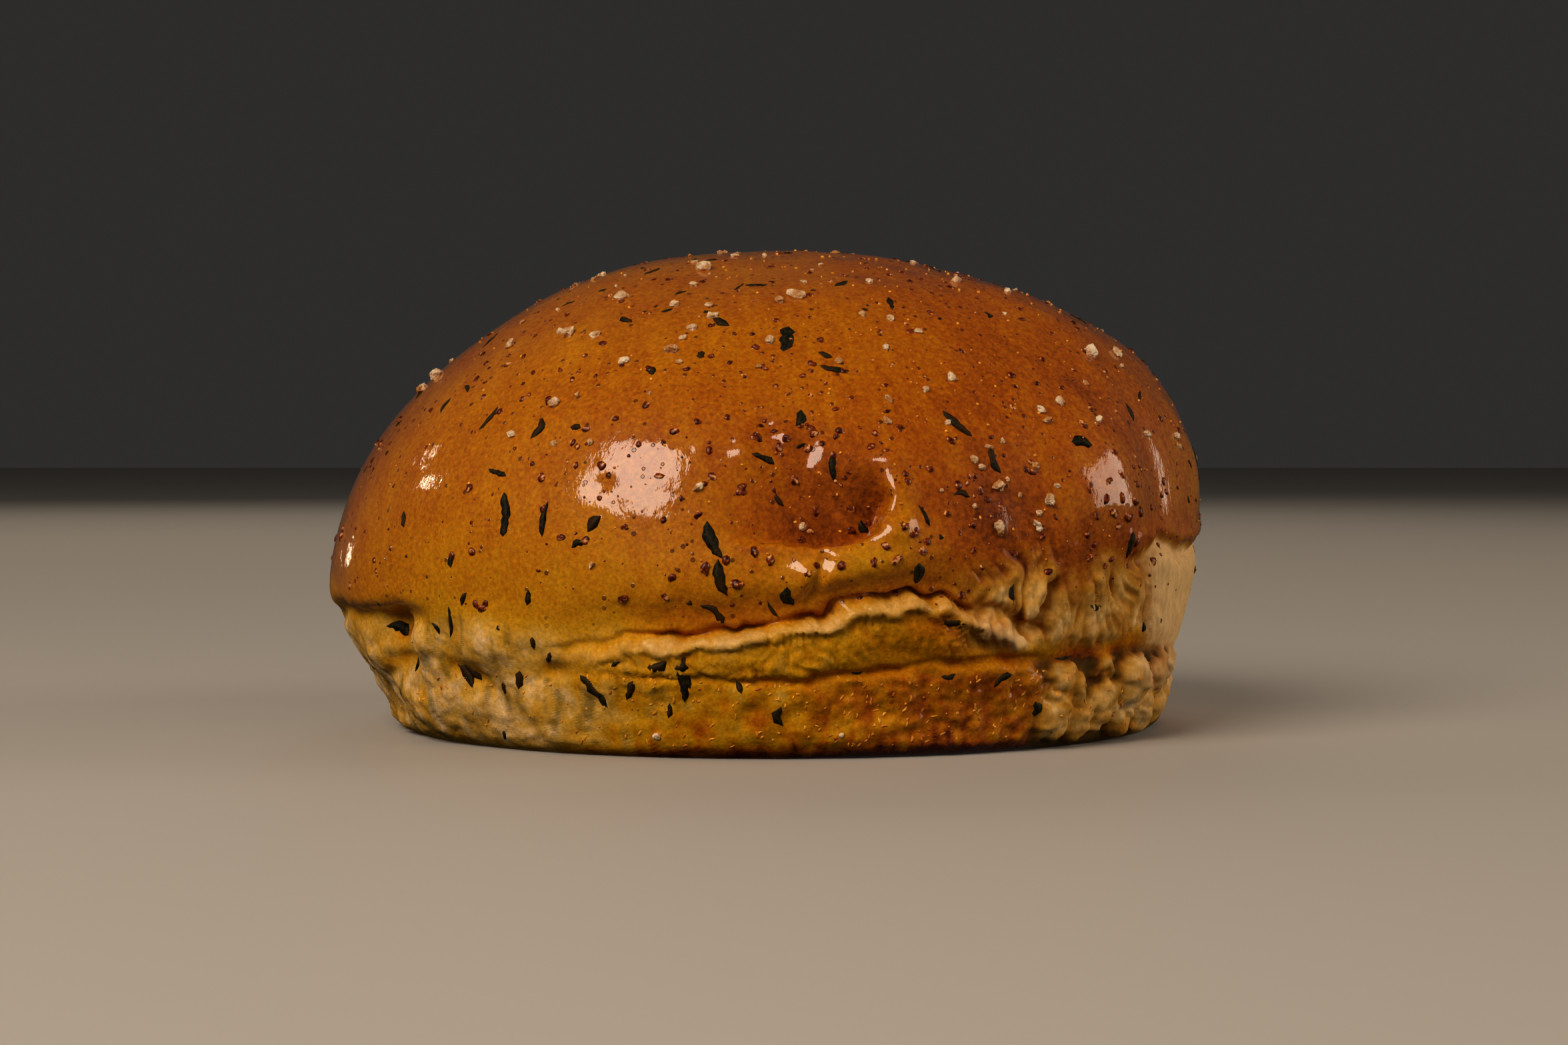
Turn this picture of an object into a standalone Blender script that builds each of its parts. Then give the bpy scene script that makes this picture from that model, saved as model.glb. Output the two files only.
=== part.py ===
import math

import bmesh
import bpy
from mathutils import Vector

# A whole baked burger bun, in metres. It stands on its flat base at z = 0, with +Z up,
# the front towards -Y and the right-hand side towards +X.
HEIGHT = 0.0595                 # base to the top of the dome
RADIUS = 0.0545                 # at the widest level
FOOT = 0.0480                   # radius of the flat base
WIDEST = 0.0210                 # height of the widest level

# What each side really measures: right, back, left, front.
SIDE_RADIUS = (0.0552, 0.0522, 0.0536, 0.0523)
SIDE_FOOT = (0.0498, 0.0475, 0.0466, 0.0486)
SIDE_WIDEST = (0.0295, 0.0220, 0.0185, 0.0210)
SIDE_FULLNESS = (2.26, 1.98, 1.73, 2.02)     # 2 is an ellipse, more is squarer
SIDE_TUCK = (0.9, 0.4, 0.0, 0.6)             # 1 rounds in to the foot, 0 sweeps in to it
BASE_EDGE = 0.0024              # radius of the rounded edge at the base
LEAN = -0.0035                  # how far the top sits to the left of the middle

STEPS = 112                     # columns round the bun
BASE_RINGS = 5
WALL_ROWS = 22
DOME_ROWS = 18

# The pinched line round the waist, where the dome's crust tucks in over the rolled lip of the
# paler skirt: degrees from the front towards the right, and the line's height there.
WAIST_LINE = ((-180, 0.0120), (-130, 0.0125), (-88, 0.0146), (-58, 0.0156), (-45, 0.0146),
              (-30, 0.0116), (-9, 0.0133), (7, 0.0150), (17, 0.0172), (30, 0.0146), (40, 0.0130),
              (75, 0.0125), (118, 0.0115), (160, 0.0112), (180, 0.0120))
WAIST_DEPTH = 0.0016            # at the front; about half of it behind
WAIST_WIDTH = 0.0022
LIP_OUT = 0.0009                # the lip rolls out just below the line
LIP_WIDTH = 0.0026
FOOT_LINE_DROP = 0.0058         # a second, shallower pinch this far below the first
FOOT_LINE_DEPTH = 0.0007

# On the right the crust ends in an edge that stands over the torn side below it.
TORN_EDGE = ((46, 0.0226), (57, 0.0236), (76, 0.0236), (88, 0.0242), (100, 0.0226),
             (112, 0.0190), (124, 0.0130))
TORN_EDGE_OUT = 0.0005
TORN_SIDE_IN = 0.0009

# Lumps and hollows: degrees from the front, height, half-width, half-height, push outwards.
LUMPS = (
    (-13, 0.0310, 0.0110, 0.0080, 0.0012),    # swelling left of the front
    (9, 0.0285, 0.0052, 0.0048, -0.0040),     # deep dent
    (17, 0.0290, 0.0026, 0.0065, 0.0016),     # ridge at the dent's right
    (11, 0.0215, 0.0080, 0.0030, 0.0017),     # roll of crust under the dent
    (33, 0.0290, 0.0040, 0.0100, -0.0010),    # shallow valley
    (50, 0.0320, 0.0080, 0.0095, 0.0013),     # hump on the right
    (68, 0.0330, 0.0022, 0.0110, -0.0011),    # crease beside the right end's ridge
    (79, 0.0340, 0.0042, 0.0120, 0.0011),     # ridge at the right end
    (58, 0.0055, 0.0130, 0.0036, 0.0013),     # torn clump low on the right
    (37, 0.0180, 0.0022, 0.0040, -0.0010),    # tear beside the lip's right end
    (-56, 0.0132, 0.0038, 0.0022, -0.0022),   # pinched pocket low on the left
    (-37, 0.0125, 0.0055, 0.0036, 0.0010),    # cheek between the pocket and the lip
    (-53, 0.0050, 0.0070, 0.0032, 0.0012),    # bulge of the foot below the pocket
    (150, 0.0300, 0.0160, 0.0100, 0.0012),    # broad swelling behind
    (-140, 0.0340, 0.0100, 0.0090, -0.0009),  # shallow hollow behind
    (-100, 0.0120, 0.0080, 0.0035, -0.0012),
    (115, 0.0110, 0.0070, 0.0040, -0.0013),
)


def ease(low, high, x):
    t = min(max((x - low) / (high - low), 0.0), 1.0)
    return t * t * (3 - 2 * t)


def blend_sides(sides, x, y, r):
    """The value for one direction, blended from the right, back, left and front ones."""
    right, back, left, front = sides
    c, s = x / r, y / r
    return c * c * (right if c > 0 else left) + s * s * (back if s > 0 else front)


def line_height(line, angle):
    for (a0, z0), (a1, z1) in zip(line, line[1:]):
        if angle <= a1:
            return z0 + (z1 - z0) * ease(a0, a1, angle)
    return line[-1][1]


def spun_body(bm):
    """Spins half the cross-section round +Z: flat base, wall tucked in below, domed top."""
    outline = [(FOOT * i / BASE_RINGS, 0.0) for i in range(BASE_RINGS)]
    for i in range(WALL_ROWS):
        level = (i / WALL_ROWS) ** 1.35
        outline.append((FOOT + (RADIUS - FOOT) * level, WIDEST * level))
    for i in range(DOME_ROWS + 1):
        turn = 0.5 * math.pi * i / DOME_ROWS
        outline.append((RADIUS * math.cos(turn), WIDEST + (HEIGHT - WIDEST) * math.sin(turn)))
    outline[-1] = (0.0, HEIGHT)
    verts = [bm.verts.new((r, 0.0, z)) for r, z in outline]
    edges = [bm.edges.new(pair) for pair in zip(verts, verts[1:])]
    bmesh.ops.spin(bm, geom=verts + edges, cent=(0, 0, 0), axis=(0, 0, 1), dvec=(0, 0, 0),
                   angle=2 * math.pi, steps=STEPS, use_merge=True, use_duplicate=False)
    bmesh.ops.remove_doubles(bm, verts=bm.verts, dist=1e-6)


def fit_to_sides(bm):
    """Gives each side its own radius, foot, widest level and fullness, and leans the top."""
    for v in bm.verts:
        x, y, z = v.co
        r = math.hypot(x, y)
        if r < 1e-7:
            v.co.x = LEAN * (z / HEIGHT) ** 1.5
            continue
        radius = blend_sides(SIDE_RADIUS, x, y, r)
        foot = blend_sides(SIDE_FOOT, x, y, r)
        widest = blend_sides(SIDE_WIDEST, x, y, r)
        power = 2 / blend_sides(SIDE_FULLNESS, x, y, r)
        tuck = blend_sides(SIDE_TUCK, x, y, r)
        if z > WIDEST:
            across = min(r / RADIUS, 1.0)
            up = (z - WIDEST) / (HEIGHT - WIDEST)
            new_r = radius * across ** power
            new_z = widest + (HEIGHT - widest) * up ** power
        elif r > FOOT - 1e-7:
            level = z / WIDEST
            round_in = math.sin(0.5 * math.pi * level)
            sweep_in = 0.5 - 0.5 * math.cos(math.pi * level)
            new_z = z * widest / WIDEST
            new_r = foot + (radius - foot) * (sweep_in + (round_in - sweep_in) * tuck)
            edge = max(1 - new_z / BASE_EDGE, 0.0)
            new_r -= BASE_EDGE * (1 - math.sqrt(1 - edge * edge))
        else:
            new_r, new_z = (foot - BASE_EDGE) * r / FOOT, z
        v.co = Vector((x / r * new_r + LEAN * (new_z / HEIGHT) ** 1.5, y / r * new_r, new_z))


def push(v):
    """How far one point of the wall or dome moves outwards."""
    angle = math.degrees(math.atan2(v.co.x, -v.co.y))
    r, z = math.hypot(v.co.x, v.co.y), v.co.z
    line = line_height(WAIST_LINE, angle)
    out = -WAIST_DEPTH * math.exp(-((z - line - 0.0009) / WAIST_WIDTH) ** 2)
    out += LIP_OUT * math.exp(-((z - line + 0.0018) / LIP_WIDTH) ** 2)
    out -= FOOT_LINE_DEPTH * math.exp(-((z - line + FOOT_LINE_DROP) / WAIST_WIDTH) ** 2)
    out *= 1 - 0.5 * ease(25, 60, abs(angle))
    edge = line_height(TORN_EDGE, angle)
    at_edge = ease(46, 56, angle) * ease(124, 112, angle)
    out += at_edge * TORN_EDGE_OUT * math.exp(-((z - edge - 0.0014) / WAIST_WIDTH) ** 2)
    out -= at_edge * TORN_SIDE_IN * math.exp(-((z - edge + 0.0014) / WAIST_WIDTH) ** 2)
    for centre, height, half_width, half_height, amount in LUMPS:
        turned = (angle - centre + 180) % 360 - 180
        around = math.radians(turned) * r / half_width
        out += amount * math.exp(-around ** 2 - ((z - height) / half_height) ** 2)
    # slow unevenness of a hand-shaped dough ball
    turn = math.radians(angle)
    slow = 0.0005 * math.sin(3 * turn + 0.6) * math.sin(z / 0.011)
    slow += 0.0004 * math.sin(5 * turn + 2.1 + z / 0.013)
    return (out + slow * ease(0.006, 0.040, r)) * ease(0.0, 0.0035, z)


def add_lumps(bm):
    moves = []
    for v in bm.verts:
        if v.co.z > 1e-5:
            away = Vector((v.co.x, v.co.y, max(v.co.z - WIDEST, 0.0))).normalized()
            moves.append((v, away * push(v)))
    for v, move in moves:
        v.co += move


def settle(bm):
    """Centres the bun over the origin with its base on z = 0."""
    xs = [v.co.x for v in bm.verts]
    ys = [v.co.y for v in bm.verts]
    low = min(v.co.z for v in bm.verts)
    middle = Vector(((min(xs) + max(xs)) / 2, (min(ys) + max(ys)) / 2, low))
    bmesh.ops.translate(bm, verts=bm.verts, vec=-middle)


def crust_material():
    mat = bpy.data.materials.new("crust")
    mat.use_nodes = True
    bsdf = mat.node_tree.nodes["Principled BSDF"]
    bsdf.inputs["Base Color"].default_value = (0.40, 0.125, 0.012, 1.0)
    bsdf.inputs["Roughness"].default_value = 0.35
    bsdf.inputs["Metallic"].default_value = 0.0
    mat.diffuse_color = (0.40, 0.125, 0.012, 1.0)
    return mat


for old in list(bpy.data.objects):
    bpy.data.objects.remove(old, do_unlink=True)

body = bmesh.new()
spun_body(body)
fit_to_sides(body)
add_lumps(body)
settle(body)
bmesh.ops.recalc_face_normals(body, faces=body.faces)
mesh = bpy.data.meshes.new("bun")
body.to_mesh(mesh)
body.free()
for face in mesh.polygons:
    face.use_smooth = True
mesh.materials.append(crust_material())
bun = bpy.data.objects.new("bun", mesh)
bpy.context.scene.collection.objects.link(bun)
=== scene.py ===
import math
import random
from itertools import product

import bmesh
import bpy
import numpy as np
from mathutils import Matrix, Vector
from mathutils.bvhtree import BVHTree


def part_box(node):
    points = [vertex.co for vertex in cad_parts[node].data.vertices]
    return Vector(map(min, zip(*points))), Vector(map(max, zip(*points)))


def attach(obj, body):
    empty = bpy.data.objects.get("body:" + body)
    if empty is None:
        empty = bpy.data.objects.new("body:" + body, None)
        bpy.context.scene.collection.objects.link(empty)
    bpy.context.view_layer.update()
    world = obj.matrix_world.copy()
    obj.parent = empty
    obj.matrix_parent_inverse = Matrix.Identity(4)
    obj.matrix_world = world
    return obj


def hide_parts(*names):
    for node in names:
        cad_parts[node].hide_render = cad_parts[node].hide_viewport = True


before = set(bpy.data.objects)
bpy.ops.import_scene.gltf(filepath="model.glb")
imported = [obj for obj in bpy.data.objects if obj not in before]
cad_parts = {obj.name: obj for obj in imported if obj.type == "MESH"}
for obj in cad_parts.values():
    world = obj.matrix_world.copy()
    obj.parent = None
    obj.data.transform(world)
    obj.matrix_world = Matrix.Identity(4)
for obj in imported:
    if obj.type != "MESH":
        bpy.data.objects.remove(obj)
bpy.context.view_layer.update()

boxLow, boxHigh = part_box("bun")
mm = 0.001
print("frame loaded, bun box", [round(v, 4) for v in (*boxLow, *boxHigh)])


def linearColor(hexText):
    # sRGB hex to the linear values that Blender works in
    channels = [int(hexText[i:i + 2], 16) / 255 for i in (1, 3, 5)]
    return tuple(c / 12.92 if c <= 0.04045 else ((c + 0.055) / 1.055) ** 2.4 for c in channels) + (1.0,)


def addNode(tree, kind, values=None, links=None, **settings):
    node = tree.nodes.new(kind)
    for name, value in settings.items():
        setattr(node, name, value)
    for socket, value in (values or {}).items():
        node.inputs[socket].default_value = value
    for socket, source in (links or {}).items():
        tree.links.new(source, node.inputs[socket])
    return node


def newMaterial(name):
    material = bpy.data.materials.new(name)
    material.use_nodes = True
    tree = material.node_tree
    tree.nodes.clear()
    return material, tree


def setStops(ramp, stops):
    # stops of a colour ramp as (position, hex)
    elements = ramp.color_ramp.elements
    for i, (position, hexText) in enumerate(stops):
        spot = elements[i] if i < 2 else elements.new(position)
        spot.position = position
        spot.color = linearColor(hexText)


def newObject(name, mesh):
    piece = bpy.data.objects.new(name, mesh)
    bpy.context.scene.collection.objects.link(piece)
    return piece


def ease(low, high, x):
    t = np.clip((x - low) / (high - low), 0, 1)
    return t * t * (3 - 2 * t)


def bumps(points, spacing, seed):
    # smooth random bumps, about -1 to 1, one every "spacing" mm; spacing can differ along x, y, z
    q = points / np.array(spacing) + 31.7 * seed
    cell = np.floor(q).astype(np.int64)
    inside = q - cell
    fade = inside ** 3 * (inside * (inside * 6 - 15) + 10)
    total = np.zeros(len(q))
    for corner in product((0, 1), repeat=3):
        c = cell + corner
        h = (c[:, 0] * 73856093) ^ (c[:, 1] * 19349663) ^ (c[:, 2] * 83492791)
        h = ((h ^ (h >> 13)) * 1274126177) & 0x7FFFFFFF
        h ^= h >> 15
        slope = np.stack([((h >> shift) & 255) / 127.5 - 1 for shift in (0, 8, 16)], axis=1)
        weight = np.prod(np.where(corner, fade, 1 - fade), axis=1)
        total += weight * np.sum(slope * (inside - corner), axis=1)
    return 1.5 * total


# the loaf: a hand-rolled ball of dough, proved and baked on a flat tray
# millimetres; groups of four are the right, back, left and front side
loaf = dict(
    sideRadius=(55.2, 52.2, 53.6, 52.3),
    sideFoot=(49.8, 47.5, 46.6, 48.6),
    widestHeight=(29.5, 22.0, 18.5, 21.0),
    fullness=(2.26, 1.98, 1.73, 2.02),      # 2 is an ellipse, more is squarer
    tuck=(0.9, 0.4, 0.0, 0.6),              # 1 rounds in to the foot, 0 sweeps in to it
    baseEdge=2.4,                           # radius where the wall meets the tray
    lean=-3.5,                              # how far the top sits off centre
    foot=0.13, waist=0.36,                  # where base and wall end, 0 at the south pole to 1 at the top
    cuts=230,         # about 0.45 mm between points
)


def fourSides(values, azimuth):
    c, s = np.cos(azimuth), np.sin(azimuth)
    right, back, left, front = values
    return c * c * np.where(c > 0, right, left) + s * s * np.where(s > 0, back, front)


def shapeLoaf(ball):
    # wraps the points of a ball on to the loaf: flat base, tucked-in wall, leaning dome
    azimuth = np.arctan2(ball[:, 1], ball[:, 0])
    turn = np.arcsin(np.clip(ball[:, 2], -1, 1)) / math.pi + 0.5
    height = boxHigh.z / mm
    radius = fourSides(loaf["sideRadius"], azimuth)
    foot = fourSides(loaf["sideFoot"], azimuth)
    widest = fourSides(loaf["widestHeight"], azimuth)
    power = 2 / fourSides(loaf["fullness"], azimuth)
    tuck = fourSides(loaf["tuck"], azimuth)
    edge = loaf["baseEdge"]
    footEnd, waistEnd = loaf["foot"], loaf["waist"]
    under = np.clip(turn / footEnd, 0, 1)
    level = np.clip((turn - footEnd) / (waistEnd - footEnd), 0, 1) ** 1.15
    dome = np.clip((turn - waistEnd) / (1 - waistEnd), 0, 1) * math.pi / 2
    sweepIn = 0.5 - 0.5 * np.cos(math.pi * level)
    roundIn = np.sin(0.5 * math.pi * level)
    wallZ = level * widest
    corner = np.clip(1 - wallZ / edge, 0, 1)
    wallR = foot + (radius - foot) * (sweepIn + (roundIn - sweepIn) * tuck)
    wallR -= edge * (1 - np.sqrt(1 - corner ** 2))
    domeR = radius * np.cos(dome).clip(0) ** power
    domeZ = widest + (height - widest) * np.sin(dome) ** power
    r = np.where(turn < footEnd, (foot - edge) * under, np.where(turn < waistEnd, wallR, domeR))
    z = np.where(turn < footEnd, 0, np.where(turn < waistEnd, wallZ, domeZ))
    x = r * np.cos(azimuth) + loaf["lean"] * (z / height) ** 1.5
    return np.stack([x, r * np.sin(azimuth), z], axis=1)


def getPoints(mesh):
    points = np.zeros(len(mesh.vertices) * 3)
    mesh.vertices.foreach_get("co", points)
    return points.reshape(-1, 3) / mm


def setPoints(mesh, points):
    mesh.vertices.foreach_set("co", (points * mm).ravel())
    mesh.update()


def getNormals(mesh):
    normals = np.zeros(len(mesh.vertices) * 3)
    mesh.vertex_normals.foreach_get("vector", normals)
    return normals.reshape(-1, 3)


def angleOf(points):
    # degrees round the bun from its front, growing towards the right
    return np.degrees(np.arctan2(points[:, 0], -points[:, 1]))


def around(points, angle, height, tilt=0):
    # millimetres across and up the crust from one place on it, turned by tilt degrees
    turned = (angleOf(points) - angle + 180) % 360 - 180
    here = np.argmin((turned * 0.9) ** 2 + (points[:, 2] - height) ** 2)
    away = points - points[here]
    a = math.radians(angle)
    across = away @ np.array((math.cos(a), math.sin(a), 0))
    inward = away @ np.array((-math.sin(a), math.cos(a), 0))
    up = np.sign(away[:, 2]) * np.hypot(away[:, 2], inward * (away[:, 2] > 0))
    t = math.radians(tilt)
    return across * math.cos(t) + up * math.sin(t), up * math.cos(t) - across * math.sin(t)


def patch(points, angle, height, wide, tall, tilt=0):
    # 1 at one place on the crust, fading to 0 over wide by tall mm
    u, v = around(points, angle, height, tilt)
    near = np.abs((angleOf(points) - angle + 180) % 360 - 180) < 75
    return np.exp(-(u / wide) ** 2 - (v / tall) ** 2) * near


mmPerDegree = 0.87        # round the waist


def fromLine(points, line):
    # signed mm above a line drawn round the crust as (degrees, height) corners, and 0..1 along it
    angle, z = angleOf(points), points[:, 2]
    best = np.full(len(points), 1e9)
    above, along = np.zeros(len(points)), np.zeros(len(points))
    for i, ((a0, z0), (a1, z1)) in enumerate(zip(line, line[1:])):
        du, dv = (a1 - a0) * mmPerDegree, z1 - z0
        length = math.hypot(du, dv)
        u, v = (angle - a0) * mmPerDegree, z - z0
        t = np.clip((u * du + v * dv) / length ** 2, 0, 1)
        away = np.hypot(u - t * du, v - t * dv)
        side = np.sign(v * du - u * dv)
        closer = away < best
        best = np.where(closer, away, best)
        above = np.where(closer, away * side, above)
        along = np.where(closer, (i + t) / (len(line) - 1), along)
    return above, along


bm = bmesh.new()
bmesh.ops.create_cube(bm, size=2)
bmesh.ops.subdivide_edges(bm, edges=bm.edges, cuts=loaf["cuts"], use_grid_fill=True)
crustMesh = bpy.data.meshes.new("bunCrust")
bm.to_mesh(crustMesh)
bm.free()
ball = np.tan(getPoints(crustMesh) * mm * math.pi / 4)     # the tangent evens out the squares
ball /= np.linalg.norm(ball, axis=1)[:, None]
setPoints(crustMesh, shapeLoaf(ball))
print("loaf wrapped,", len(crustMesh.vertices), "points")

# where the rising dough swelled or sank: (degrees from the front, height, half-width, half-height, tilt,
# push out), in mm and degrees
lumps = dict(
    mainSwelling=(-13, 31.0, 13.0, 11.0, 0, 0.35),
    mainFlat=(-14, 30.0, 9.0, 7.0, 0, -0.12),
    notchBesideIt=(-20.5, 30.5, 1.5, 1.2, 20, -0.22),
    puckerOne=(-2.5, 34.3, 1.3, 1.4, 0, 0.40),
    puckerTwo=(2.5, 36.0, 1.8, 1.4, -20, 0.45),
    puckerHollow=(0.5, 36.9, 1.1, 2.6, 35, -0.40),
    puckerHollowTwo=(5.5, 34.4, 1.2, 2.4, -15, -0.40),
    dent=(4, 30.0, 8.0, 5.0, 0, -1.0),
    dentRidge=(17.0, 30.2, 1.8, 2.4, -6, 0.7),
    dentRidgeLow=(16.6, 25.6, 1.8, 1.5, 20, 0.6),
    dentRidgeTop=(16.5, 33.4, 1.8, 1.4, 0, 0.6),
    rollUnderDent=(9, 20.6, 6.5, 2.6, 8, 1.4),
    bulgeUnderDent=(17, 22.6, 5.0, 3.8, 0, 0.9),
    frontBulge=(-8, 20.0, 9.0, 4.0, 0, 0.5),
    nickUnderDent=(6.5, 20.2, 0.7, 2.6, -18, -0.8),
    foldBesideNick=(5.2, 20.6, 0.8, 2.4, -18, 0.35),
    valley=(34, 27.0, 4.0, 7.0, -8, -0.45),
    rightHump=(49, 31.0, 7.5, 8.0, 0, 1.2),
    endCrease=(61, 31.0, 3.0, 8.0, 6, -0.7),
    endRidge=(75, 31.0, 5.5, 10.0, 6, 0.7),
    rightFoot=(84, 4.5, 15.0, 6.0, 0, -1.9),
    leftPocket=(-56, 13.2, 3.6, 2.0, 10, -2.4),
    leftKnob=(-50, 12.0, 2.2, 2.6, 0, 1.1),
    leftKnobTwo=(-64, 10.0, 3.0, 2.2, 0, 0.8),
    leftCheek=(-37, 12.5, 5.5, 3.6, 0, 1.0),
    leftSag=(-63, 20.0, 6.0, 5.0, 0, 0.4),
    leftFootBulge=(-53, 5.0, 7.0, 3.2, 0, 1.2),
    leftFootBulgeTwo=(-30, 5.2, 6.0, 3.0, 0, 0.6),
    leftValley=(-57, 9.6, 4.6, 1.4, 12, -1.1),
    leftValleyTwo=(-42, 8.8, 3.6, 1.3, -22, -1.0),
    leftValleyThree=(-28, 9.6, 2.6, 1.4, 10, -0.8),
    backSwelling=(150, 30.0, 15.0, 10.0, 0, 1.2),
    backHollow=(-140, 34.0, 8.0, 7.0, 20, -1.0),
    backDimple=(168, 40.0, 7.0, 4.5, -20, -0.7),
    leftBackWaist=(-100, 11.5, 8.0, 3.0, 0, -1.0),
    rightBackWaist=(118, 11.0, 7.0, 3.5, 0, -1.1),
    shoulder=(62, 53.0, 7.0, 6.0, 0, 0.8),
)

# every rough term is (size, spacing of its bumps in mm, seed)
waves = dict(broad=(0.9, 24, 1), gentle=(0.16, 9, 2))


def rough(points, term):
    size, spacing, seed = term
    return size * bumps(points, spacing, seed)


points = getPoints(crustMesh)
normals = getNormals(crustMesh)
offBase = ease(0.2, 3.5, points[:, 2])      # the base stays flat on the tray
push = rough(points, waves["broad"]) + rough(points, waves["gentle"])
for angle, height, wide, tall, tilt, out in lumps.values():
    push += out * patch(points, angle, height, wide, tall, tilt)
points = points + normals * (push * offBase)[:, None]
setPoints(crustMesh, points)

# The waist fold: crust tucks in above a rolled lip, and below the lip's face a second crease meets the
# skirt that baked against the tray. Corners are (degrees from the front, height in mm).
folds = dict(
    lip=((-30, 10.6), (-18, 12.4), (-9, 13.3), (-3, 13.8), (2, 14.4), (7, 15.0), (10, 16.0), (14, 17.0),
         (18, 17.4), (22, 16.7), (26, 15.6), (31, 14.2)),
    lipFoot=((-33, 9.4), (-14, 9.4), (-7, 9.0), (3, 9.0), (13, 9.6), (18, 10.0), (23, 10.6), (30, 10.9),
             (36, 10.5), (43, 10.6), (50, 11.3), (58, 11.2), (72, 10.8)),
    dentFold=((-8, 25.4), (-1, 24.7), (5, 24.7), (10, 25.0), (13.4, 25.9), (14.4, 28.0), (14.6, 30.5),
              (15.0, 33.6)),
    lipEnd=((26, 15.8), (29, 15.0), (32, 13.8), (35.5, 12.0)),
    tornFold=((38.8, 20.8), (37.4, 18.2), (36.2, 15.8), (34.4, 13.4)),
    leftCrustEdge=((-88, 14.6), (-72, 15.6), (-58, 15.6), (-52, 16.2), (-45, 15.6)),
    backWaist=((96, 12.5), (118, 11.5), (140, 12.5), (160, 11.2), (178, 12.0)),
    backWaistLeft=((-178, 12.0), (-155, 13.0), (-130, 11.5), (-108, 12.6), (-92, 13.4)),
    rightCrustEdge=((50, 22.6), (57, 23.6), (66, 23.8), (76, 23.6), (88, 24.2), (100, 22.6), (112, 19.0),
                    (124, 13.0)),
)

# the ridges and grooves along each fold: (mm above its line, half-width, push out)
ridges = dict(
    lip=((2.6, 2.2, -0.7), (-0.3, 0.6, 0.4), (-2.6, 2.6, 0.6)),
    lipWhereDeep=((0.8, 0.5, -1.9), (-0.3, 0.6, 0.6)),
    lipEnd=((1.6, 0.8, -1.1), (0, 0.7, 0.7), (-1.9, 0.9, -0.8)),
    tornFold=((0.7, 0.75, -1.7), (-0.7, 0.8, 0.7)),
    leftCrustEdge=((1.4, 1.6, 0.3), (-1.0, 1.3, -0.9)),
    backWaist=((1.4, 1.4, 0.35), (-0.6, 0.9, -0.9)),
    rightCrustEdge=((1.0, 1.0, 0.4), (-0.9, 1.2, -0.9)),
    underDent=((-1.9, 1.5, 0.35),),
)
dent = dict(depth=3.1, reach=8.5)
wander = dict(slow=(0.55, 4.2, 5), quick=(0.3, 1.7, 6), lip=(0.9, 3.4, 39), lipFine=(0.16, 1.2, 58),
              crustEdge=(1.2, 8, 7))


def fade(along, ends=0.12):
    return ease(0, ends, along) * ease(0, ends, 1 - along)


def hill(x, middle, half):
    return np.exp(-((x - middle) / half) ** 2)


def press(above, shape):
    return sum(out * hill(above, middle, half) for middle, half, out in shape)


points = getPoints(crustMesh)
normals = getNormals(crustMesh)
wobble = rough(points, wander["slow"]) + rough(points, wander["quick"])
push = np.zeros(len(points))

# the dent: dough sinks towards an L-shaped crease and rises sharply beyond it
above, along = fromLine(points, folds["dentFold"])
above = above + 1.2 * wobble
part = ease(0, 0.4, along) * ease(0, 0.3, 1 - along)
slopeIn = np.clip(1 - above / dent["reach"], 0, 1) ** 1.25 * ease(-1.1, 0.1, above)
brokenRim = ease(-0.4, 0.3, bumps(points, 3.0, 37))
push += part * (press(above, ridges["underDent"]) * brokenRim - dent["depth"] * slopeIn)
# painted shade: the crust darkens towards the crease, where the dent lies in shade
dentShadeMask = part * ease(-0.5, 0.3, above) * hill(np.maximum(above, 0), 0, 4.0)

# the lip: in places it stands clear of the crust above it, in others the gap baked shut
above, along = fromLine(points, folds["lip"])
above = above + wobble + rough(points, wander["lip"]) + rough(points, wander["lipFine"])
lipPart = fade(along)
deep = 0.35 + 0.65 * ease(-0.35, 0.25, bumps(points, 6.5, 27))
push += lipPart * (press(above, ridges["lip"]) + deep * press(above, ridges["lipWhereDeep"]))
lipPale = lipPart * hill(above, -0.05, 0.30 + 0.34 * deep)
lipPale *= 0.35 + 0.5 * deep + 0.35 * bumps(points, 2.8, 54)
lipSoft = lipPart * ease(1.2, -0.2, above) * ease(-5.5, -4.0, above)
# painted shade in the gap under the crust that hangs over the lip
lipGapShade = lipPart * deep * hill(above, 0.85, 0.5)

# the crease under the lip's face widens to a recess on the right
above, along = fromLine(points, folds["lipFoot"])
above = above + 0.9 * wobble
footPart = fade(along) * ease(-0.75, -0.1, bumps(points, 5, 8))
recess = ease(34, 42, angleOf(points))
lipFootRidges = ((0, 0.55 + 0.9 * recess, -0.9), (-2.2, 1.6, 0.25))
push += footPart * (0.45 + 0.55 * ease(-8, 8, angleOf(points))) * press(above, lipFootRidges)
# painted shade along the crease under the lip's face, widening into the recess
footShade = footPart * hill(above, -0.1, 0.55 + 1.0 * recess)

above, along = fromLine(points, folds["lipEnd"])
above = above + 1.5 * wobble
part = fade(along, 0.2)
push += part * press(above, ridges["lipEnd"])
lipPale = np.maximum(lipPale, 0.9 * part * hill(above, 0, 0.9))

# right of this one the torn dough sits lower, left of it the edge stands proud
above, along = fromLine(points, folds["tornFold"])
above = above + 0.5 * wobble
part = fade(along, 0.25)
push += part * press(above, ridges["tornFold"])
# painted shade in the crease of the torn fold
foldShade = part * hill(above, 0.5, 0.6)

above, along = fromLine(points, folds["leftCrustEdge"])
push += fade(along, 0.2) * press(above + 0.8 * wobble, ridges["leftCrustEdge"])

for name in ("backWaist", "backWaistLeft"):
    above, along = fromLine(points, folds[name])
    push += fade(along, 0.1) * press(above + wobble, ridges["backWaist"])

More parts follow.
